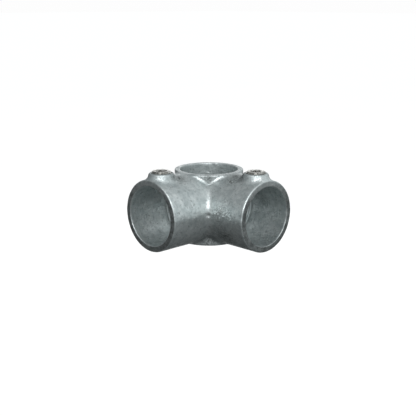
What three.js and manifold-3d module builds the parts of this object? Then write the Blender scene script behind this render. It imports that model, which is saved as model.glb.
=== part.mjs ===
// A clamp fitting for round steel tube: one galvanised casting and three set screws.
// An upright tube passes through the collar, and two level tubes enter sockets at right
// angles to it and to each other. Each tube is held by a set screw in a boss of its own.
//
// Millimetres, +Z up. The three tube axes cross at the origin: the upright is on Z, the
// right socket runs along +X, and the left socket runs along -Y.

import * as THREE from "three";
import { mergeVertices } from "three/addons/utils/BufferGeometryUtils.js";
import Module from "manifold-3d";

const wasm = await Module();
wasm.setup();

// ---- driving dimensions ----

const TUBE_R = 48.3 / 2; // outside radius of the tube that the fitting takes
const TUBE_CLEARANCE = 0.8; // room around the tube, on radius
const WALL = 5.45; // thickness of the casting round each bore
const COLLAR_LESS = 0.6; // how much smaller than a socket's radius the collar's is
const COLLAR_HALF = 30.7; // half the height of the collar
const SOCKET_REACH = 67.9; // crossing of the axes to a socket's mouth
const STOP_REACH = 27; // crossing of the axes to the shoulder that stops a tube
const STOP_LIP = 3.45; // how far that shoulder stands into the bore
const RIM_ROUND = 1.5; // radius of the rounded outer edge of each socket's mouth
const COLLAR_ROUND = 1; // radius of the rounded outer edges of the collar
const WAIST = 0.8; // how much slimmer a socket is where it starts, inside the collar
const WAIST_END = 25; // crossing of the axes to where a socket has its full radius
const MOUTH_CHAMFER = 0.6; // chamfer inside each mouth

const BOSS_AT = 54.7; // crossing of the axes to a socket's screw
const BOSS_TOP = 35; // tube axis to the top of a boss
const BOSS_FOOT = 26; // tube axis to the foot of a boss, inside the wall
const BOSS_R = 10.4; // radius of a boss at its top, before rounding
const BOSS_FOOT_R = 12.7; // radius of a boss at its foot
const BOSS_ROUND = 1.5; // radius of the rounded edge of a boss

const SCREW_R = 16.66 / 2; // major radius of a 3/8 inch BSP parallel thread
const SCREW_PROUD = 1.4; // how far a tightened screw stands out of its boss
const SCREW_CHAMFER = 0.9; // chamfer at both ends of a screw
const SCREW_GAP = 0.32; // gap between a screw and its hole, on radius
const CUP_R = 5.2; // radius of the cup in a screw's point
const CUP_DEPTH = 1.6; // depth of that cup
const KEY_FLATS = 8; // size of the hexagon key, across its flats
const KEY_DEPTH = 6; // depth of the hexagon socket

// ---- sizes that follow from them ----

const BORE_R = TUBE_R + TUBE_CLEARANCE;
const BODY_R = BORE_R + WALL;
const COLLAR_R = BODY_R - COLLAR_LESS;
const STOP_R = BORE_R - STOP_LIP;
const SCREW_LENGTH = BOSS_TOP + SCREW_PROUD - TUBE_R;
const KEY_CORNER_R = KEY_FLATS / Math.sqrt(3);
const PAST = 1; // how far a cutter runs past the face that it cuts
const QUARTER = Math.PI / 2;

const BIG_SIDES = 64;
const SMALL_SIDES = 32;

// ---- shapes of revolution, about Y as three.js turns them ----

const point = (radius, height) => new THREE.Vector2(radius, height);

// Points of an arc round (radius, height), from one angle to another.
function arc(radius, height, size, start, end, steps = 4) {
  const points = [];
  for (let i = 0; i <= steps; i += 1) {
    const angle = start + ((end - start) * i) / steps;
    points.push(point(radius + size * Math.cos(angle), height + size * Math.sin(angle)));
  }
  return points;
}

function turned(profile, sides = BIG_SIDES) {
  return new THREE.LatheGeometry(profile, sides);
}

// A closed rod that goes through the foot's points, and whose top edge is rounded.
function roundedRod(radius, top, round, foot) {
  const rim = arc(radius - round, top - round, round, 0, QUARTER);
  return turned([point(0, foot[0].y), ...foot, ...rim, point(0, top)]);
}

function collarShape() {
  const foot = arc(COLLAR_R - COLLAR_ROUND, COLLAR_ROUND - COLLAR_HALF, COLLAR_ROUND, -QUARTER, 0);
  return roundedRod(COLLAR_R, COLLAR_HALF, COLLAR_ROUND, foot);
}

// A socket swells gently to its full radius, so that no step shows where it leaves the collar.
function socketShape() {
  const foot = [];
  for (let i = 0; i <= 4; i += 1) {
    const left = 1 - i / 4;
    foot.push(point(BODY_R - WAIST * left * left, (WAIST_END * i) / 4));
  }
  return roundedRod(BODY_R, SOCKET_REACH, RIM_ROUND, foot);
}

function boreCutter(radius, bottom, top) {
  return turned([point(0, bottom), point(radius, bottom), point(radius, top), point(0, top)]);
}

// A cone that opens outwards through a mouth and leaves a chamfer round it.
function mouthCutter(mouth) {
  const small = BORE_R - PAST;
  const large = BORE_R + MOUTH_CHAMFER + PAST;
  const back = mouth - MOUTH_CHAMFER - PAST;
  return turned([point(0, back), point(small, back), point(large, mouth + PAST), point(0, mouth + PAST)]);
}

function bossShape() {
  const edge = arc(BOSS_R - BOSS_ROUND, BOSS_TOP - BOSS_ROUND, BOSS_ROUND, 0, QUARTER);
  return turned([point(0, BOSS_FOOT), point(BOSS_FOOT_R, BOSS_FOOT), ...edge, point(0, BOSS_TOP)], SMALL_SIDES);
}

function screwHoleCutter() {
  const radius = SCREW_R + SCREW_GAP;
  const bottom = STOP_R - PAST;
  const top = BOSS_TOP + PAST;
  return turned([point(0, bottom), point(radius, bottom), point(radius, top), point(0, top)], SMALL_SIDES);
}

// ---- placing: each shape is made on Y, then turned to lie along its own axis ----

const UP = new THREE.Vector3(0, 0, 1);
const DOWN = new THREE.Vector3(0, 0, -1);
const RIGHT = new THREE.Vector3(1, 0, 0);
const LEFT = new THREE.Vector3(0, -1, 0);
const REAR = new THREE.Vector3(-1, 1, 0).normalize();

function along(geometry, direction, offset = new THREE.Vector3()) {
  const turn = new THREE.Quaternion().setFromUnitVectors(new THREE.Vector3(0, 1, 0), direction);
  const place = new THREE.Matrix4().makeRotationFromQuaternion(turn).setPosition(offset);
  return solid(geometry.clone().applyMatrix4(place));
}

// ---- joining and cutting ----

function solid(geometry) {
  const bare = geometry.clone();
  bare.deleteAttribute("normal");
  bare.deleteAttribute("uv");
  const merged = mergeVertices(bare, 1e-4);
  return new wasm.Manifold(new wasm.Mesh({
    numProp: 3,
    vertProperties: new Float32Array(merged.attributes.position.array),
    triVerts: new Uint32Array(merged.index.array),
  }));
}

function geometryOf(manifold) {
  const mesh = manifold.getMesh();
  const geometry = new THREE.BufferGeometry();
  geometry.setAttribute("position", new THREE.BufferAttribute(mesh.vertProperties, 3));
  geometry.setIndex(new THREE.BufferAttribute(mesh.triVerts, 1));
  geometry.computeVertexNormals();
  return geometry;
}

// ---- the casting ----

// Each screw's own axis: the way it points out of the tube, and where it leaves the tube's axis.
const SCREW_PLACES = {
  left_set_screw: { out: UP, from: LEFT.clone().multiplyScalar(BOSS_AT) },
  right_set_screw: { out: UP, from: RIGHT.clone().multiplyScalar(BOSS_AT) },
  collar_set_screw: { out: REAR, from: new THREE.Vector3() },
};

function castingShape() {
  let casting = along(collarShape(), UP);
  for (const direction of [RIGHT, LEFT]) casting = casting.add(along(socketShape(), direction));

  const places = Object.values(SCREW_PLACES);
  for (const { out, from } of places) casting = casting.add(along(bossShape(), out, from));

  const upright = boreCutter(BORE_R, -COLLAR_HALF - PAST, COLLAR_HALF + PAST);
  casting = casting.subtract(along(upright, UP));
  for (const direction of [UP, DOWN]) {
    casting = casting.subtract(along(mouthCutter(COLLAR_HALF), direction));
  }

  for (const direction of [RIGHT, LEFT]) {
    casting = casting.subtract(along(boreCutter(STOP_R, 0, STOP_REACH + PAST), direction));
    casting = casting.subtract(along(boreCutter(BORE_R, STOP_REACH, SOCKET_REACH + PAST), direction));
    casting = casting.subtract(along(mouthCutter(SOCKET_REACH), direction));
  }

  for (const { out, from } of places) casting = casting.subtract(along(screwHoleCutter(), out, from));
  return geometryOf(casting);
}

// ---- a set screw, made on Y with its point at the tube's surface ----

function screwShape() {
  const tip = TUBE_R;
  const head = TUBE_R + SCREW_LENGTH;
  const neck = SCREW_R - SCREW_CHAMFER;
  const blank = turned([
    point(0, tip + CUP_DEPTH),
    point(CUP_R, tip),
    point(neck, tip),
    point(SCREW_R, tip + SCREW_CHAMFER),
    point(SCREW_R, head - SCREW_CHAMFER),
    point(neck, head),
    point(0, head),
  ], SMALL_SIDES);

  const floor = head - KEY_DEPTH;
  const key = new THREE.CylinderGeometry(KEY_CORNER_R, KEY_CORNER_R, KEY_DEPTH + PAST, 6);
  key.translate(0, floor + (KEY_DEPTH + PAST) / 2, 0);
  return geometryOf(solid(blank).subtract(solid(key)));
}

// ---- materials and the finished group ----

const galvanised = new THREE.MeshStandardMaterial({ color: 0xa9b2b2, roughness: 0.45, metalness: 0.85 });
const plated = new THREE.MeshStandardMaterial({ color: 0x9c9b94, roughness: 0.35, metalness: 0.9 });

const fitting = new THREE.Group();

const casting = new THREE.Mesh(castingShape(), galvanised);
casting.name = "body_casting";
fitting.add(casting);

for (const [name, { out, from }] of Object.entries(SCREW_PLACES)) {
  const screw = new THREE.Mesh(screwShape(), plated.clone());
  screw.name = name;
  screw.quaternion.setFromUnitVectors(new THREE.Vector3(0, 1, 0), out);
  screw.position.copy(from);
  fitting.add(screw);
}

export default fitting;
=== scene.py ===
"""A galvanised clamp fitting for round tube, with its three set screws.

The casting is drawn as a field of distances, in which rods, bosses and bores are joined with
round fillets as a foundry pattern has them. A mesh is laid on that field, the screw holes are
tapped with real helical threads, and zinc and steel are made with shader nodes.

Shapes are worked out in millimetres and turned into metres when a mesh is made.
"""

import itertools
import math

import bmesh
import bpy
import numpy as np
from mathutils import Matrix, Vector


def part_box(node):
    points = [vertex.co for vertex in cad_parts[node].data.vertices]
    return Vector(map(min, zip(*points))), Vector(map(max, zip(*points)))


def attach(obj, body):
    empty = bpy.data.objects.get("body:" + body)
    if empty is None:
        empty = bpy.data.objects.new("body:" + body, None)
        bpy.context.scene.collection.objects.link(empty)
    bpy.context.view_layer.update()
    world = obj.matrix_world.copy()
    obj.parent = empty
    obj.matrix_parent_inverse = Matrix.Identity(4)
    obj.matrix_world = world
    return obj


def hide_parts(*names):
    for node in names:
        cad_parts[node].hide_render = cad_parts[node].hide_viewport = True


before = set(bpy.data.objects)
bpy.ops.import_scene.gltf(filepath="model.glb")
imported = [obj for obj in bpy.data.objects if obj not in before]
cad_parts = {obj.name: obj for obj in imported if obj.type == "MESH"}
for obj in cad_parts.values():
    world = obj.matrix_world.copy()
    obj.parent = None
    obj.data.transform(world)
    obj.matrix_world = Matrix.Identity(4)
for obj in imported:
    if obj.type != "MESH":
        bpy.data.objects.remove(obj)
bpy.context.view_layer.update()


# ---- sizes read from the frame ----

MM = 0.001


def box_mm(node):
    low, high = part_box(node)
    return np.array(low) / MM, np.array(high) / MM


casting_low, casting_high = box_mm("body_casting")
screw_low, screw_high = box_mm("right_set_screw")

SOCKET_REACH = casting_high[0]  # crossing of the tubes' axes to a socket's mouth
COLLAR_HALF = -casting_low[2]  # half the height of the collar
BOSS_TOP = casting_high[2]  # a tube's axis to the top of its boss
BOSS_AT = (screw_low[0] + screw_high[0]) / 2  # crossing of the axes to a socket's screw
SCREW_R = (screw_high[0] - screw_low[0]) / 2
SCREW_TIP = screw_low[2]
SCREW_HEAD = screw_high[2]

# ---- sizes repeated from the part's own driving dimensions ----

TUBE_CLEARANCE = 0.8
WALL = 5.45
BORE_R = SCREW_TIP + TUBE_CLEARANCE
BODY_R = BORE_R + WALL
COLLAR_LESS = 0.6
COLLAR_R = BODY_R - COLLAR_LESS
STOP_REACH = 27.0
STOP_LIP = 3.45
STOP_R = BORE_R - STOP_LIP
BOSS_FOOT = 26.0
BOSS_R = 10.4
BOSS_FOOT_R = 12.7
WAIST = 0.8  # how much slimmer a socket is where it starts, inside the collar
WAIST_END = 25.0
RIM_ROUND = 1.5
COLLAR_ROUND = 1.0
BOSS_ROUND = 1.5
KEY_FLATS = 8.0
KEY_DEPTH = 6.0
SCREW_CHAMFER = 0.9
CUP_R = 5.2
CUP_DEPTH = 1.6

# ---- fillets, edges and the mould's seam, which the CAD has plainer or not at all ----

MOUTH_ROUND = 0.7  # inner edge of every mouth
BODY_FILLET = 3.0  # sockets to collar
VALLEY_FILLET = 5.0  # socket to socket
BOSS_FILLET = 3.2
LIP_ROUND = 0.8  # where the bores meet inside
SHOULDER_ROUND = 1.2  # foot of a socket's bore
BORE_EDGE = 0.1
BORE_PAST = 20.0  # how far the space in a bore runs past its end
FILLET_MOST = 1.2  # a fillet gets no more times wider, in a corner sharper than a right angle
SEAM_WIDTH = 3.0  # soft ridge where the mould's halves met
SEAM_HEIGHT = 0.2

# ---- threads: a 3/8 inch pipe thread, 19 to the inch ----

THREAD_PITCH = 25.4 / 19
THREAD_DEPTH = 0.856
THREAD_GAP = 0.12
THREAD_FLAT = 0.1  # share of a half turn's profile that is flat, at a crest and at a root
THREAD_SIDES = 72
THREAD_STEP = THREAD_PITCH / 12
TAP_CHAMFER = 0.75
CUTTER_PAST = 1.0  # how far a cutter runs past the face that it cuts
DRILL_POINT = 1.5  # depth of the drilled point below the key's socket
KEY_COUNTERSINK = 0.25
COUNTERSINK_SIDES = 64
CUP_FLOOR_R = 0.6  # radius of the flat middle of the cup
CUP_EDGE = 0.15
HEAD_EDGE = 0.1

# ---- unevenness of the cast and dipped skin ----

WAVE_DEPTH = 0.28
WAVES = ((0.5, 13.0, 1), (0.3, 5.5, 2), (0.2, 2.4, 3))  # share, size and seed of each
KNOT_SIZE = 1.9
KNOT_SEED = 4
PIT_DEPTH = 0.9
PIT_REACH = 1.7
VALLEY_PIT = (31.8, -31.8, 0.8)

# Where the zinc lies in knots: the middle of each patch, its reach, and the knots' height.
ROUGH_PATCHES = (
    ((42.0, -30.0, 3.0), 9.0, 0.55),
    ((40.0, -12.0, 28.0), 5.5, 0.9),
    ((46.0, -8.0, 32.0), 5.0, 0.9),
    ((9.0, -52.0, 30.0), 4.5, 0.6),
    ((-20.0, 20.0, -18.0), 8.0, 0.4),
    ((40.0, 29.0, 6.0), 8.0, 0.4),
)

# Where the zinc is painted dull and dark: the middle of each patch, and its reach. The first four
# are painted shade, in the triangles above and below the sockets' valley and between each boss and
# the collar; the others are stains.
STAINS_AND_SHADE = (
    ((21.0, -21.0, 27.5), 3.8),
    ((22.0, -22.0, -26.0), 9.0),
    ((37.0, -4.0, 31.0), 6.0),
    ((7.0, -43.0, 30.0), 6.5),
    ((47.0, -9.0, 31.0), 5.0),
    ((9.0, -52.0, 32.0), 3.0),
    ((45.0, -25.0, -16.0), 9.0),
)

# How far the skin is felt for hollows, which get painted shade, and for edges, and how the mouths'
# faces are told apart.
HOLLOW_REACH = 3.5
EDGE_REACH = 2.2
TAPPED_DEPTH = 0.8
MOUTH_BACK = 0.7
MOUTH_BLEND = 0.3
MOUTH_FACING = (0.75, 0.95)
MOUTH_TOP_HEIGHT = (14.0, 26.0)  # the top of a mouth's face is painted less dark than its sides
MOUTH_TOP_SHARE = 0.6

# ---- the casting's mesh ----

GRID_STEP = 0.55
GRID_MARGIN = 1.3
EVEN_SHARE = 0.6  # how far a vertex slides towards the middle of its neighbours
CASTING_SHARE = 0.27  # share of the faces kept
CASTING_SHARP = 42  # degrees between faces, past which an edge is sharp
SCREW_SHARP = 38

# ---- colours and gloss ----

ZINC_DARK = (0.38, 0.43, 0.435, 1)
ZINC_PALE = (0.76, 0.795, 0.79, 1)
ZINC_SPOT = (0.20, 0.215, 0.21, 1)
ZINC_EDGE = (0.84, 0.86, 0.86, 1)
# Dark colour for painted shade in hollows, by the valley and beside the bosses, for the darker
# mouth faces, and for stains and grime between knots.
GRIME_AND_SHADE = (0.13, 0.14, 0.138, 1)
ZINC_METALLIC = 0.88
WAVE_BUMP = 0.42
KNOT_BUMP = 0.35
FINE_BUMP = 0.10
STEEL_DARK = (0.40, 0.39, 0.36, 1)
STEEL_PALE = (0.78, 0.77, 0.74, 1)
STEEL_BUMP = 0.04
FLOOR_TONES = ((0.24, 0.24, 0.24, 1), (0.26, 0.26, 0.26, 1))
FLOOR_GLOW = 0.86
BACKDROP = (0.985, 0.985, 0.985, 1)

# ---- the camera, as the photograph's: metres, degrees, and a lens for a 36 mm sensor ----

CAMERA_AT = (0.49636, -0.48926, 0.17075)
CAMERA_AZIMUTH = math.radians(45.471)
CAMERA_ELEVATION = math.radians(14.132)
CAMERA_ROLL = math.radians(0.108)
CAMERA_LENS = 70.94

# ---- surroundings, in metres ----

FLOOR_DROP = 0.30
FLOOR_HALF = 30.0

# Each lamp's azimuth, elevation, distance, size and power. Azimuth 45 is the camera's side.
LAMPS = {
    "front": (45, 36, 1.6, 0.9, 10.0),
    "rim": (225, 12, 1.6, 0.9, 1.3),
    "low_back": (225, -11, 1.2, 0.9, 3.0),
}

# Height of a direction, from 0 straight down to 1 straight up, and how bright the room is.
ROOM_LIGHT = ((0.0, 0.14), (0.38, 0.24), (0.47, 0.29), (0.56, 0.92), (0.80, 1.0), (1.0, 0.75))
ROOM_TINT = (0.95, 1.0, 1.015)
ROOM_PLAIN = 0.64
ROOM_TO_RIGHT = 0.32
ROOM_TO_FRONT = 0.34

# ---- axes, and where each set screw is: its body, the start of its axis, and its axis ----

X_AXIS = np.array([1.0, 0.0, 0.0])
Y_AXIS = np.array([0.0, 1.0, 0.0])
Z_AXIS = np.array([0.0, 0.0, 1.0])
REAR_AXIS = np.array([-1.0, 1.0, 0.0]) / math.sqrt(2)
NOWHERE = np.zeros(3)

SCREWS = {
    "left_set_screw": ("left_screw", -Y_AXIS * BOSS_AT, Z_AXIS),
    "right_set_screw": ("right_screw", X_AXIS * BOSS_AT, Z_AXIS),
    "collar_set_screw": ("collar_screw", NOWHERE, REAR_AXIS),
}


# ---- fields: each shape gives a distance and the direction in which it grows ----


def rod(points, start, axis, radius, low, high, edge, taper=0.0, seam=0.0, waist=0.0):
    """A rod along axis, with rounded edges.

    Its radius grows by taper for each millimetre along, so a negative taper narrows it. It is
    slimmer by waist at its start, and a seam stands up from it at the height of the tubes' axes.
    """
    away = [p - s for p, s in zip(points, start)]
    along = sum(a * n for a, n in zip(away, axis))
    across = [a - along * n for a, n in zip(away, axis)]
    radial = np.sqrt(sum(a * a for a in across)) + 1e-9
    swell = taper * (along - high) - waist * np.clip(1 - along / WAIST_END, 0, 1) ** 2
    if seam:
        swell = swell + seam * np.exp(-((points[2] / SEAM_WIDTH) ** 2))
    side = radial - (radius + swell - edge)
    middle = (low + high) / 2
    half = (high - low) / 2
    end = np.abs(along - middle) - (half - edge)
    corner_side = np.maximum(side, 0)
    corner_end = np.maximum(end, 0)
    corner = np.sqrt(corner_side**2 + corner_end**2)
    distance = corner + np.minimum(np.maximum(side, end), 0) - edge
    outside = corner > 0
    safe = np.where(outside, corner, 1.0)
    share_side = np.where(outside, corner_side / safe, side > end)
    share_end = np.where(outside, corner_end / safe, side <= end) * np.sign(along - middle)
    slope = [share_side * a / radial + share_end * n for a, n in zip(across, axis)]
    return distance, slope


def join(one, other, fillet):
    """Both shapes together, with a fillet of that radius where their surfaces cross squarely.

    Where the surfaces turn less from each other the fillet is smaller.
    """
    (a, slope_a), (b, slope_b) = one, other
    alike = sum(m * n for m, n in zip(slope_a, slope_b))
    reach = fillet * np.clip(1 - alike, 0.0, FILLET_MOST)
    near_a = np.maximum(reach - a, 0)
    near_b = np.maximum(reach - b, 0)
    both = np.sqrt(near_a**2 + near_b**2)
    distance = np.maximum(reach, np.minimum(a, b)) - both
    blended = (near_a > 0) & (near_b > 0)
    safe = np.where(blended, both, 1.0)
    weight_a = np.where(blended, near_a / safe, a < b)
    weight_b = np.where(blended, near_b / safe, a >= b)
    slope = [weight_a * m + weight_b * n for m, n in zip(slope_a, slope_b)]
    return distance, slope


def cut(body, hole, edge):
    """The body without the hole, with the edge between them rounded."""
    a, b = body[0], -hole[0]
    corner = np.sqrt(np.maximum(edge + a, 0) ** 2 + np.maximum(edge + b, 0) ** 2)
    return np.minimum(-edge, np.maximum(a, b)) + corner


def collar(points):
    ends = (-COLLAR_HALF, COLLAR_HALF)
    return rod(points, NOWHERE, Z_AXIS, COLLAR_R, *ends, COLLAR_ROUND, seam=SEAM_HEIGHT)


def socket(points, axis):
    shape = (BODY_R, 0, SOCKET_REACH, RIM_ROUND)
    return rod(points, NOWHERE, axis, *shape, seam=SEAM_HEIGHT, waist=WAIST)


def boss(points, start, axis):
    taper = (BOSS_R - BOSS_FOOT_R) / (BOSS_TOP - BOSS_FOOT)
    return rod(points, start, axis, BOSS_R, BOSS_FOOT, BOSS_TOP, BOSS_ROUND, taper=taper)


def bores(points):
    """All the space for tubes: the upright's bore, the stop holes and the sockets' bores."""
    upright = COLLAR_HALF + BORE_PAST
    space = rod(points, NOWHERE, Z_AXIS, BORE_R, -upright, upright, BORE_EDGE)
    for axis in (X_AXIS, -Y_AXIS):
        stop_end = STOP_REACH + BORE_PAST
        bore_end = SOCKET_REACH + BORE_PAST
        stop_hole = rod(points, NOWHERE, axis, STOP_R, 0, stop_end, BORE_EDGE)
        bore = rod(points, NOWHERE, axis, BORE_R, STOP_REACH, bore_end, SHOULDER_ROUND)
        space = join(join(space, stop_hole, LIP_ROUND), bore, LIP_ROUND)
    return space


def casting_field(points):
    """Distance from the finished casting's skin, before its screw holes are tapped."""
    sockets = [socket(points, axis) for axis in (X_AXIS, -Y_AXIS)]
    body = join(collar(points), join(*sockets, VALLEY_FILLET), BODY_FILLET)
    for _, start, axis in SCREWS.values():
        body = join(body, boss(points, start, axis), BOSS_FILLET)
    return cut(body, bores(points), MOUTH_ROUND)


# ---- unevenness of the cast and dipped surface ----


def lumps(points, size, seed):
    """Smooth noise from -1 to 1, with lumps about that size across."""
    table = np.random.default_rng(seed).uniform(-1, 1, (32, 32, 32))
    scaled = [p / size for p in points]
    cell = [np.floor(s).astype(int) for s in scaled]
    part = [s - c for s, c in zip(scaled, cell)]
    part = [t * t * (3 - 2 * t) for t in part]
    total = 0.0
    for corner in itertools.product((0, 1), repeat=3):
        weight = math.prod(t if far else 1 - t for t, far in zip(part, corner))
        index = tuple((c + far) % 32 for c, far in zip(cell, corner))
        total = total + weight * table[index]
    return total


def closeness(points, place, reach):
    return np.exp(-sum((p - c) ** 2 for p, c in zip(points, place)) / reach**2)


def knot_height(points):
    return sum(height * closeness(points, place, reach) for place, reach, height in ROUGH_PATCHES)


def rough_field(points):
    """The casting's field with the waves, knots of zinc and pit that casting and dipping leave."""
    waves = sum(share * lumps(points, size, seed) for share, size, seed in WAVES)
    field = casting_field(points) + WAVE_DEPTH * (0.5 + 0.5 * waves)
    knots = np.maximum(lumps(points, KNOT_SIZE, KNOT_SEED), 0)
    field = field - knots * knot_height(points)
    return field + PIT_DEPTH * closeness(points, VALLEY_PIT, PIT_REACH)


# ---- laying a mesh on a field ----


def grid_axes(low, high, step):
    return [np.arange(a, b + step, step) for a, b in zip(low, high)]


def crossing_places(values, mixed, cells):
    """For each cell that the surface crosses, the middle of the places where it crosses edges."""

    def at(corner):
        view = tuple(slice(c, c + n) for c, n in zip(corner, mixed.shape))
        return values[view][mixed]

    total = np.zeros((len(cells), 3))
    crossings = np.zeros(len(cells))
    for start in itertools.product((0, 1), repeat=3):
        for axis in range(3):
            if start[axis]:
                continue
            end = tuple(1 if i == axis else s for i, s in enumerate(start))
            a, b = at(start), at(end)
            crossed = (a < 0) != (b < 0)
            share = np.where(crossed, a / np.where(crossed, a - b, 1), 0)
            place = np.array(start, float)[None, :].repeat(len(cells), 0)
            place[:, axis] += share
            total += place * crossed[:, None]
            crossings += crossed
    return total / crossings[:, None]


def crossed_quads(inside, number):
    """A quad round each edge of the grid that the surface crosses."""
    quads = []
    for axis in range(3):
        one, two = [i for i in range(3) if i != axis]
        first = tuple(slice(0, -1) if i == axis else slice(1, -1) for i in range(3))
        second = tuple(slice(1, None) if i == axis else slice(1, -1) for i in range(3))
        start, end = inside[first], inside[second]
        for flip, crossed in ((False, start & ~end), (True, end & ~start)):
            where = np.argwhere(crossed)
            where[:, one] += 1
            where[:, two] += 1
            ring = []
            for back_one, back_two in ((1, 1), (0, 1), (0, 0), (1, 0)):
                cell = where.copy()
                cell[:, one] -= back_one
                cell[:, two] -= back_two
                ring.append(number[tuple(cell.T)])
            ring = np.stack(ring, 1)
            quads.append(ring[:, ::-1] if flip != (axis == 1) else ring)
    return np.concatenate(quads)


def surface_net(values, axes):
    """One vertex in each cell that the surface crosses, and a quad round each crossed edge."""
    inside = values < 0
    shape = [n - 1 for n in values.shape]
    count = np.zeros(shape, np.int8)
    for corner in itertools.product((0, 1), repeat=3):
        count += inside[tuple(slice(c, c + n) for c, n in zip(corner, shape))]
    mixed = (count > 0) & (count < 8)
    number = np.full(mixed.shape, -1, np.int64)
    number[mixed] = np.arange(mixed.sum())
    cells = np.argwhere(mixed)
    step = [ax[1] - ax[0] for ax in axes]
    places = cells + crossing_places(values, mixed, cells)
    return places * step + [ax[0] for ax in axes], crossed_quads(inside, number)


def slope_of(field, vertices, reach=0.05):
    offsets = np.array([[1, -1, -1], [-1, -1, 1], [-1, 1, -1], [1, 1, 1]], float)
    slope = np.zeros_like(vertices)
    for offset in offsets:
        slope += offset * field(list((vertices + offset * reach).T))[:, None]
    return slope / np.linalg.norm(slope, axis=1, keepdims=True)


def settle(field, vertices, rounds):
    """Moves vertices along the field's slope until they lie on its surface."""
    for _ in range(rounds):
        vertices = vertices - slope_of(field, vertices) * field(list(vertices.T))[:, None]
    return vertices


def even_out(field, vertices, quads, rounds):
    """Slides vertices along the surface towards the middle of their neighbours."""
    edges = np.concatenate([quads[:, [i, (i + 1) % 4]] for i in range(4)])
    count = np.bincount(edges[:, 0], minlength=len(vertices))
    for _ in range(rounds):
        ends = vertices[edges[:, 1]]
        sums = [np.bincount(edges[:, 0], ends[:, i], len(vertices)) for i in range(3)]
        pull = np.stack(sums, 1) / count[:, None] - vertices
        slope = slope_of(field, vertices)
        slide = pull - slope * (pull * slope).sum(1, keepdims=True)
        vertices = vertices + EVEN_SHARE * slide
    return vertices


# ---- meshes and objects ----


def linked(name, data):
    obj = bpy.data.objects.new(name, data)
    bpy.context.scene.collection.objects.link(obj)
    return obj


def new_object(name, vertices, faces):
    """An object from points in millimetres and lists of point numbers."""
    mesh = bpy.data.meshes.new(name)
    mesh.from_pydata((np.asarray(vertices, float) * MM).tolist(), [], faces)
    return linked(name, mesh)


def apply_modifiers(obj):
    graph = bpy.context.evaluated_depsgraph_get()
    shaped = bpy.data.meshes.new_from_object(obj.evaluated_get(graph))
    obj.modifiers.clear()
    obj.data = shaped


def subtract(obj, cutter):
    change = obj.modifiers.new("cut", "BOOLEAN")
    change.operation = "DIFFERENCE"
    change.solver = "MANIFOLD"
    change.object = cutter
    apply_modifiers(obj)
    bpy.data.objects.remove(cutter)


def without_slivers(obj):
    """Rebuilds the mesh from triangles, without the pairs of slivers that lie back to back."""
    mesh = obj.data
    mesh.calc_loop_triangles()
    triangles = np.empty(len(mesh.loop_triangles) * 3, np.int32)
    mesh.loop_triangles.foreach_get("vertices", triangles)
    triangles = triangles.reshape(-1, 3)
    corners = np.sort(triangles, axis=1)
    _, kind, count = np.unique(corners, axis=0, return_inverse=True, return_counts=True)
    kept = triangles[count[kind.ravel()] == 1]
    used, faces = np.unique(kept, return_inverse=True)
    places = np.empty(len(mesh.vertices) * 3, np.float32)
    mesh.vertices.foreach_get("co", places)
    rebuilt = bpy.data.meshes.new(mesh.name)
    rebuilt.from_pydata(places.reshape(-1, 3)[used].tolist(), [], faces.reshape(-1, 3).tolist())
    obj.data = rebuilt


def around(sides):
    return np.arange(sides) * 2 * math.pi / sides


def turned_object(name, rows, sides):
    """A closed shape round Z from rows of (height, radius at each angle), closed at its poles."""
    angles = around(sides)
    vertices = [[0, 0, rows[0][0]]]
    for height, radius in rows[1:-1]:
        radius = np.broadcast_to(radius, sides)
        heights = np.full(sides, height)
        vertices.extend(np.stack([radius * np.cos(angles), radius * np.sin(angles), heights], 1))
    vertices.append([0, 0, rows[-1][0]])
    top = len(vertices) - 1
    rings = len(rows) - 2
    last = 1 + (rings - 1) * sides
    faces = []
    for i in range(sides):
        j = (i + 1) % sides
        faces.append([0, 1 + j, 1 + i])
        for ring in range(rings - 1):
            base = 1 + ring * sides
            faces.append([base + i, base + j, base + sides + j, base + sides + i])
        faces.append([last + i, last + j, top])
    return new_object(name, vertices, faces)


def place_along(start, axis):
    """Matrix that carries a shape made on Z to an axis through start."""
    turn = Vector((0, 0, 1)).rotation_difference(Vector(axis)).to_matrix().to_4x4()
    return Matrix.Translation(Vector(start) * MM) @ turn


def dress(obj, material, sharp_degrees):
    """Gives a piece its one material, smooth shading, and sharp edges where faces turn by more."""
    obj.data.materials.clear()
    obj.data.materials.append(material)
    obj.data.shade_smooth()
    obj.data.set_sharp_from_angle(angle=math.radians(sharp_degrees))


# ---- the pipe thread ----


def thread_radius(height, angles, crest):
    """Radius of a right-handed helical thread with rounded crests and roots."""
    phase = (height / THREAD_PITCH - angles / (2 * math.pi)) % 1.0
    rise = np.clip((1 - np.abs(2 * phase - 1) - THREAD_FLAT) / (1 - 2 * THREAD_FLAT), 0, 1)
    return crest - THREAD_DEPTH * (0.5 + 0.5 * np.cos(math.pi * rise))


def tap(name):
    """What a tap cuts from a boss: the thread's space, with a chamfer where it comes out."""
    angles = around(THREAD_SIDES)
    low = STOP_R
    high = BOSS_TOP + CUTTER_PAST
    rows = [(low, 0.0)]
    for height in np.arange(low, high, THREAD_STEP):
        mouth = SCREW_R + TAP_CHAMFER - (BOSS_TOP - height)
        thread = thread_radius(height, angles, SCREW_R + THREAD_GAP)
        rows.append((height, np.maximum(thread, mouth)))
    rows.append((high, 0.0))
    return turned_object(name, rows, THREAD_SIDES)


# ---- the casting ----


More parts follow.
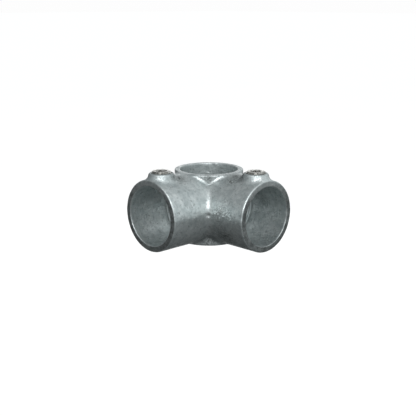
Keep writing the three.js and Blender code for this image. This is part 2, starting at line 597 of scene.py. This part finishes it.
def make_casting():
    step = GRID_STEP
    axes = grid_axes(casting_low - GRID_MARGIN, casting_high + GRID_MARGIN, step)
    points = np.meshgrid(*axes, indexing="ij", sparse=True)
    vertices, quads = surface_net(casting_field(points), axes)
    vertices = settle(casting_field, vertices, 1)
    vertices = even_out(casting_field, vertices, quads, 2)
    vertices = settle(rough_field, vertices, 2)
    obj = new_object("casting_skin", vertices, quads.tolist())

    fewer = obj.modifiers.new("fewer", "DECIMATE")
    fewer.ratio = CASTING_SHARE
    apply_modifiers(obj)
    for name, (_, start, axis) in SCREWS.items():
        cutter = tap("tap_" + name)
        cutter.data.transform(place_along(start, axis))
        subtract(obj, cutter)
    without_slivers(obj)
    return obj


# Painted shade: the zinc is darkened by how sunken a place is.
def hollows(places, slope):
    """How sunken each place is: 1 in a tight corner or a tapped hole, 0 on an open surface."""
    ahead = casting_field(list((places + slope * HOLLOW_REACH).T))
    tapped = np.clip(-casting_field(list(places.T)) / TAPPED_DEPTH, 0, 1)
    return np.maximum(1 - ahead / HOLLOW_REACH, tapped)


def mouth_faces(places, slope):
    """1 on the ring-shaped faces of the two level mouths, and less towards their tops."""
    near = np.maximum(places[:, 0], -places[:, 1]) - (SOCKET_REACH - MOUTH_BACK)
    facing = np.maximum(slope[:, 0], -slope[:, 1])
    low, high = MOUTH_FACING
    mouth = np.clip(near / MOUTH_BLEND, 0, 1) * np.clip((facing - low) / (high - low), 0, 1)
    low, high = MOUTH_TOP_HEIGHT
    return mouth * (1 - MOUTH_TOP_SHARE * np.clip((places[:, 2] - low) / (high - low), 0, 1))


def note_form(obj):
    """Stores at each point of the skin what its shape is like there, for the zinc to follow."""
    mesh = obj.data
    places = np.empty(len(mesh.vertices) * 3, np.float32)
    mesh.vertices.foreach_get("co", places)
    places = places.reshape(-1, 3).astype(float) / MM
    points = list(places.T)
    slope = slope_of(casting_field, places)
    behind = casting_field(list((places - slope * EDGE_REACH).T))
    notes = {
        "sunken": hollows(places, slope),
        "near_edge": 1 + behind / EDGE_REACH,
        "mouth": mouth_faces(places, slope),
        # Stains, and painted shade in the triangles by the valley and between each boss and the
        # collar.
        "stain_and_shade": sum(closeness(points, place, reach) for place, reach in STAINS_AND_SHADE),
        "knotted": knot_height(points),
    }
    for name, values in notes.items():
        layer = mesh.attributes.new(name, "FLOAT", "POINT")
        layer.data.foreach_set("value", np.clip(values, 0, 1).astype(np.float32))


# ---- the set screws, made upright on Z and then carried to their places ----


def hexagon_cutter(name):
    """The key's socket: six flats, with a drilled point below them."""
    corner = KEY_FLATS / math.sqrt(3)
    floor = SCREW_HEAD - KEY_DEPTH
    mesh = bpy.data.meshes.new(name)
    shape = bmesh.new()
    rings = []
    for height in (floor, SCREW_HEAD + CUTTER_PAST):
        ring = []
        for i in range(6):
            angle = math.pi / 6 + i * math.pi / 3
            x, y = corner * math.cos(angle), corner * math.sin(angle)
            ring.append(shape.verts.new((x * MM, y * MM, height * MM)))
        rings.append(ring)
    point = shape.verts.new((0, 0, (floor - DRILL_POINT) * MM))
    shape.faces.new(rings[1])
    for i in range(6):
        j = (i + 1) % 6
        shape.faces.new((rings[0][i], rings[0][j], rings[1][j], rings[1][i]))
        shape.faces.new((rings[0][j], rings[0][i], point))
    shape.to_mesh(mesh)
    shape.free()
    return linked(name, mesh)


def countersink_cutter(name):
    """A cone that leaves a small chamfer round the key's socket."""
    wide = KEY_FLATS / math.sqrt(3) + KEY_COUNTERSINK
    foot = SCREW_HEAD - wide
    top = SCREW_HEAD + 0.5
    rows = [(foot, 0.0), (foot + 0.01, 0.01), (top, wide + 0.5), (top, 0.0)]
    return turned_object(name, rows, COUNTERSINK_SIDES)


def screw_rows():
    """Rows of a set screw from its cup to its head, on the tube's axis."""
    angles = around(THREAD_SIDES)
    neck = SCREW_R - SCREW_CHAMFER
    cup_floor = SCREW_TIP + CUP_DEPTH
    rows = [(cup_floor, 0.0), (cup_floor, CUP_FLOOR_R)]
    rows += [(SCREW_TIP + CUP_EDGE, CUP_R - HEAD_EDGE), (SCREW_TIP, CUP_R + CUP_EDGE)]
    rows += [(SCREW_TIP, neck - CUP_EDGE)]
    for height in np.arange(SCREW_TIP, SCREW_HEAD + 1e-6, THREAD_STEP):
        cone = neck + min(height - SCREW_TIP, SCREW_HEAD - height)
        rows.append((height, np.minimum(thread_radius(height, angles, SCREW_R), cone)))
    rows += [(SCREW_HEAD, neck - HEAD_EDGE), (SCREW_HEAD, 0.0)]
    return rows


def make_screw(name, start, axis):
    obj = turned_object(name + "_steel", screw_rows(), THREAD_SIDES)
    subtract(obj, hexagon_cutter("key"))
    subtract(obj, countersink_cutter("sink"))
    obj.data.transform(place_along(start, axis))
    return obj


# ---- shader helpers ----


def new_material(name):
    material = bpy.data.materials.new(name)
    material.use_nodes = True
    tree = material.node_tree
    tree.nodes.clear()
    output = tree.nodes.new("ShaderNodeOutputMaterial")
    surface = tree.nodes.new("ShaderNodeBsdfPrincipled")
    tree.links.new(surface.outputs["BSDF"], output.inputs["Surface"])
    return material, tree, surface


def feed(tree, socket, value):
    if isinstance(value, bpy.types.NodeSocket):
        tree.links.new(value, socket)
    else:
        socket.default_value = value


def maths(tree, operation, *values, clamp=False):
    node = tree.nodes.new("ShaderNodeMath")
    node.operation = operation
    node.use_clamp = clamp
    for socket, value in zip(node.inputs, values):
        feed(tree, socket, value)
    return node.outputs[0]


def times(tree, one, other):
    return maths(tree, "MULTIPLY", one, other)


def times_add(tree, one, other, added, clamp=False):
    return maths(tree, "MULTIPLY_ADD", one, other, added, clamp=clamp)


def mix(tree, share, one, other):
    node = tree.nodes.new("ShaderNodeMix")
    node.data_type = "RGBA"
    feed(tree, node.inputs[0], share)
    feed(tree, node.inputs[6], one)
    feed(tree, node.inputs[7], other)
    return node.outputs[2]


def remap(tree, value, low, high, to_low=0.0, to_high=1.0):
    node = tree.nodes.new("ShaderNodeMapRange")
    for socket, number in zip(node.inputs, (value, low, high, to_low, to_high)):
        feed(tree, socket, number)
    return node.outputs[0]


def place_node(tree):
    return tree.nodes.new("ShaderNodeTexCoord").outputs["Object"]


def vector_maths(tree, operation, place, factors):
    node = tree.nodes.new("ShaderNodeVectorMath")
    node.operation = operation
    tree.links.new(place, node.inputs[0])
    node.inputs[1].default_value = factors
    return node


def noise(tree, place, size_mm, detail=2.0, roughness=0.5):
    node = tree.nodes.new("ShaderNodeTexNoise")
    tree.links.new(place, node.inputs["Vector"])
    node.inputs["Scale"].default_value = 1 / (size_mm * MM)
    node.inputs["Detail"].default_value = detail
    node.inputs["Roughness"].default_value = roughness
    return node


def cells(tree, place, size_mm, feature="F1"):
    node = tree.nodes.new("ShaderNodeTexVoronoi")
    node.feature = feature
    tree.links.new(place, node.inputs["Vector"])
    node.inputs["Scale"].default_value = 1 / (size_mm * MM)
    return node


def attribute(tree, name):
    node = tree.nodes.new("ShaderNodeAttribute")
    node.attribute_name = name
    return node.outputs["Fac"]


def bump(tree, height, depth_mm, normal=None):
    node = tree.nodes.new("ShaderNodeBump")
    node.inputs["Strength"].default_value = 1.0
    node.inputs["Distance"].default_value = depth_mm * MM
    tree.links.new(height, node.inputs["Height"])
    if normal is not None:
        tree.links.new(normal, node.inputs["Normal"])
    return node.outputs["Normal"]


def bent_place(tree, place, size_mm, amount_mm):
    """The place, pushed about by noise, so that cells and spots lose their straight edges."""
    push = noise(tree, place, size_mm).outputs["Color"]
    node = vector_maths(tree, "MULTIPLY_ADD", push, (amount_mm * MM,) * 3)
    tree.links.new(place, node.inputs[2])
    return node.outputs[0]


# ---- hot-dipped zinc: grey mottling, faint crystals, runs, nodules, grime and painted shade ----


def zinc_tone(tree, bent, blotch, crystal):
    """How pale the zinc is: broad clouds, blotches, runs down the sides, and crystals."""
    cloud = noise(tree, bent, 15.0, detail=4.0, roughness=0.6).outputs[0]
    long = vector_maths(tree, "MULTIPLY", bent, (1, 1, 0.35)).outputs[0]
    runs = noise(tree, long, 2.6, detail=3.0, roughness=0.6).outputs[0]
    tone = times(tree, remap(tree, cloud, 0.38, 0.62), 0.30)
    tone = times_add(tree, remap(tree, blotch, 0.36, 0.64), 0.34, tone)
    tone = times_add(tree, remap(tree, runs, 0.36, 0.64), 0.20, tone)
    return times_add(tree, crystal, 0.16, tone)


def zinc_grime_and_shade(tree, bent, blotch):
    """How dark the zinc is painted, from 0 to 1: painted shade in hollows, darker faces on the
    mouths, stains with painted shade among them, and grime between knots.
    """
    speckle = noise(tree, bent, 1.7, detail=3.0, roughness=0.6).outputs[0]
    borders = cells(tree, bent, 2.3, "DISTANCE_TO_EDGE").outputs["Distance"]
    # Painted shade: the more sunken a place, in corners, fillets and tapped holes, the darker.
    hollow = remap(tree, attribute(tree, "sunken"), 0.22, 0.95, 0.0, 0.8)
    knots = remap(tree, attribute(tree, "knotted"), 0.1, 0.7)
    grime_and_shade = times(tree, hollow, remap(tree, blotch, 0.3, 0.6, 0.35, 1.0))
    others = (
        # The mouths' level faces are painted darker, less so towards their tops.
        times(tree, attribute(tree, "mouth"), remap(tree, blotch, 0.36, 0.62, 1.0, 0.7)),
        # Stains, and painted shade by the valley and beside the bosses, broken up by speckle.
        times(tree, attribute(tree, "stain_and_shade"), remap(tree, speckle, 0.42, 0.56, 0.35, 0.95)),
        times(tree, knots, remap(tree, borders, 0.02, 0.13, 0.9, 0.0)),
    )
    for other in others:
        grime_and_shade = maths(tree, "MAXIMUM", grime_and_shade, other)
    return grime_and_shade


def zinc_bumps(tree, place, bent, blotch):
    """Soft waves, patches of beads, and a fine grain."""
    patch = remap(tree, noise(tree, place, 16.0, detail=2.0).outputs[0], 0.52, 0.62)
    beads = cells(tree, bent, 1.5, "SMOOTH_F1").outputs["Distance"]
    beads = times(tree, maths(tree, "SUBTRACT", 0.6, beads), patch)
    grain = noise(tree, place, 0.8, detail=3.0, roughness=0.65).outputs[0]
    waves = bump(tree, blotch, WAVE_BUMP)
    knobbly = bump(tree, beads, KNOT_BUMP, waves)
    return bump(tree, grain, FINE_BUMP, knobbly)


def galvanised_zinc():
    material, tree, surface = new_material("galvanised_zinc")
    place = place_node(tree)
    bent = bent_place(tree, place, 4.0, 2.6)
    blotch = noise(tree, bent, 4.2, detail=4.0, roughness=0.62).outputs[0]
    crystal = tree.nodes.new("ShaderNodeSeparateColor")
    tree.links.new(cells(tree, bent, 3.0).outputs["Color"], crystal.inputs[0])

    tone = zinc_tone(tree, bent, blotch, crystal.outputs[0])
    colour = mix(tree, tone, ZINC_DARK, ZINC_PALE)
    spots = remap(tree, noise(tree, bent, 2.6, detail=3.0, roughness=0.7).outputs[0], 0.57, 0.68)
    spots = times(tree, spots, 0.55)
    colour = mix(tree, spots, colour, ZINC_SPOT)
    pale = remap(tree, attribute(tree, "near_edge"), 0.25, 0.75, 0.0, 0.45)
    colour = mix(tree, pale, colour, ZINC_EDGE)
    grime_and_shade = zinc_grime_and_shade(tree, bent, blotch)
    # Painted shade and grime darken the zinc.
    colour = mix(tree, grime_and_shade, colour, GRIME_AND_SHADE)
    tree.links.new(colour, surface.inputs["Base Color"])

    surface.inputs["Metallic"].default_value = ZINC_METALLIC
    rough = times_add(tree, tone, -0.12, 0.43)
    rough = times_add(tree, crystal.outputs[1], 0.08, rough)
    rough = times_add(tree, spots, 0.2, rough)
    rough = times_add(tree, grime_and_shade, 0.25, rough, clamp=True)
    tree.links.new(rough, surface.inputs["Roughness"])
    tree.links.new(zinc_bumps(tree, place, bent, blotch), surface.inputs["Normal"])
    return material


# ---- the other materials ----


def plated_steel():
    """Zinc-plated hardened steel, a little dulled, with cloudy tone and a fine grain."""
    material, tree, surface = new_material("plated_steel")
    place = place_node(tree)
    cloud = noise(tree, place, 3.0, detail=3.0).outputs[0]
    grain = noise(tree, place, 0.35, detail=2.0).outputs[0]
    colour = mix(tree, remap(tree, cloud, 0.38, 0.62), STEEL_DARK, STEEL_PALE)
    tree.links.new(colour, surface.inputs["Base Color"])
    surface.inputs["Metallic"].default_value = 1.0
    tree.links.new(times_add(tree, cloud, 0.2, 0.18), surface.inputs["Roughness"])
    tree.links.new(bump(tree, grain, STEEL_BUMP), surface.inputs["Normal"])
    return material


def floor_paint():
    """Pale paint that glows softly, so that the floor meets the backdrop without a line."""
    material, tree, surface = new_material("floor_paint")
    cloud = noise(tree, place_node(tree), 400.0, detail=2.0).outputs[0]
    tree.links.new(mix(tree, cloud, *FLOOR_TONES), surface.inputs["Base Color"])
    surface.inputs["Roughness"].default_value = 0.9
    surface.inputs["Specular IOR Level"].default_value = 0.0
    surface.inputs["Emission Color"].default_value = (1, 1, 1, 1)
    surface.inputs["Emission Strength"].default_value = FLOOR_GLOW
    return material


# ---- camera, floor and light ----


def outward(azimuth, elevation):
    """Direction from the origin. Azimuth 0 is in front, on -Y, and 90 degrees is on +X."""
    flat = math.cos(elevation)
    return Vector((math.sin(azimuth) * flat, -math.cos(azimuth) * flat, math.sin(elevation)))


def make_camera():
    data = bpy.data.cameras.new("camera")
    data.sensor_width = 36.0
    data.lens = CAMERA_LENS
    data.clip_start = 0.01
    data.clip_end = 100.0
    camera = linked("camera", data)
    back = outward(CAMERA_AZIMUTH, CAMERA_ELEVATION)
    right = Vector((math.cos(CAMERA_AZIMUTH), math.sin(CAMERA_AZIMUTH), 0))
    up = back.cross(right)
    tilted_right = right * math.cos(CAMERA_ROLL) + up * math.sin(CAMERA_ROLL)
    tilted_up = back.cross(tilted_right)
    turn = Matrix((tilted_right, tilted_up, back)).transposed()
    camera.matrix_world = Matrix.Translation(CAMERA_AT) @ turn.to_4x4()
    bpy.context.scene.camera = camera


def make_floor():
    """A floor that the camera sees, and that neither shades nor lights the fitting."""
    mesh = bpy.data.meshes.new("floor")
    corners = [(-1, -1), (1, -1), (1, 1), (-1, 1)]
    points = [(x * FLOOR_HALF, y * FLOOR_HALF, -FLOOR_DROP) for x, y in corners]
    mesh.from_pydata(points, [], [(0, 1, 2, 3)])
    mesh.materials.append(floor_paint())
    floor = linked("floor", mesh)
    floor.visible_glossy = False
    floor.visible_diffuse = False
    floor.visible_shadow = False


def soft_light(name, azimuth, elevation, distance, size, power):
    """A square lamp that faces the origin."""
    data = bpy.data.lights.new(name, "AREA")
    data.shape = "SQUARE"
    data.size = size
    data.energy = power
    lamp = linked(name, data)
    lamp.visible_camera = False
    away = outward(math.radians(azimuth), math.radians(elevation))
    lamp.location = away * distance
    lamp.rotation_mode = "QUATERNION"
    lamp.rotation_quaternion = away.to_track_quat("Z", "Y")


def fill_ramp(ramp, levels, tint):
    """Sets a new colour ramp's stops to tinted greys."""
    colours = [(place, [level * part for part in tint] + [1]) for place, level in levels]
    for stop, (place, colour) in zip(ramp.elements, (colours[0], colours[-1])):
        stop.position = place
        stop.color = colour
    for place, colour in colours[1:-1]:
        ramp.elements.new(place).color = colour


def room_light(tree):
    """The room's colour by height and its strength by side, brightest high up in front."""

    def share(way):
        return vector_maths(tree, "DOT_PRODUCT", direction, way).outputs["Value"]

    direction = tree.nodes.new("ShaderNodeTexCoord").outputs["Generated"]
    ramp = tree.nodes.new("ShaderNodeValToRGB")
    tree.links.new(times_add(tree, share((0, 0, 1)), 0.5, 0.5), ramp.inputs[0])
    fill_ramp(ramp.color_ramp, ROOM_LIGHT, ROOM_TINT)
    strength = times_add(tree, share((0.7, 0.7, 0)), ROOM_TO_RIGHT, ROOM_PLAIN)
    strength = times_add(tree, share((0.7, -0.7, 0)), ROOM_TO_FRONT, strength)
    return ramp.outputs[0], strength


def make_world():
    """A room that is bright above the horizon and dim below it, behind a plain pale backdrop."""
    world = bpy.data.worlds.new("studio")
    world.use_nodes = True
    tree = world.node_tree
    tree.nodes.clear()
    output = tree.nodes.new("ShaderNodeOutputWorld")
    room = tree.nodes.new("ShaderNodeBackground")
    colour, strength = room_light(tree)
    tree.links.new(colour, room.inputs["Color"])
    tree.links.new(strength, room.inputs["Strength"])
    plain = tree.nodes.new("ShaderNodeBackground")
    plain.inputs["Color"].default_value = BACKDROP
    path = tree.nodes.new("ShaderNodeLightPath")
    chosen = tree.nodes.new("ShaderNodeMixShader")
    tree.links.new(path.outputs["Is Camera Ray"], chosen.inputs[0])
    tree.links.new(room.outputs[0], chosen.inputs[1])
    tree.links.new(plain.outputs[0], chosen.inputs[2])
    tree.links.new(chosen.outputs[0], output.inputs["Surface"])
    bpy.context.scene.world = world


# ---- the whole scene ----


def main():
    bpy.context.scene.view_settings.view_transform = "Standard"
    make_camera()
    make_world()
    make_floor()
    for name, place in LAMPS.items():
        soft_light(name, *place)

    casting = make_casting()
    note_form(casting)
    dress(casting, galvanised_zinc(), CASTING_SHARP)
    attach(casting, "casting")
    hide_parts("body_casting")

    steel = plated_steel()
    for name, (body, start, axis) in SCREWS.items():
        screw = make_screw(name, start, axis)
        dress(screw, steel, SCREW_SHARP)
        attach(screw, body)
        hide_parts(name)


main()
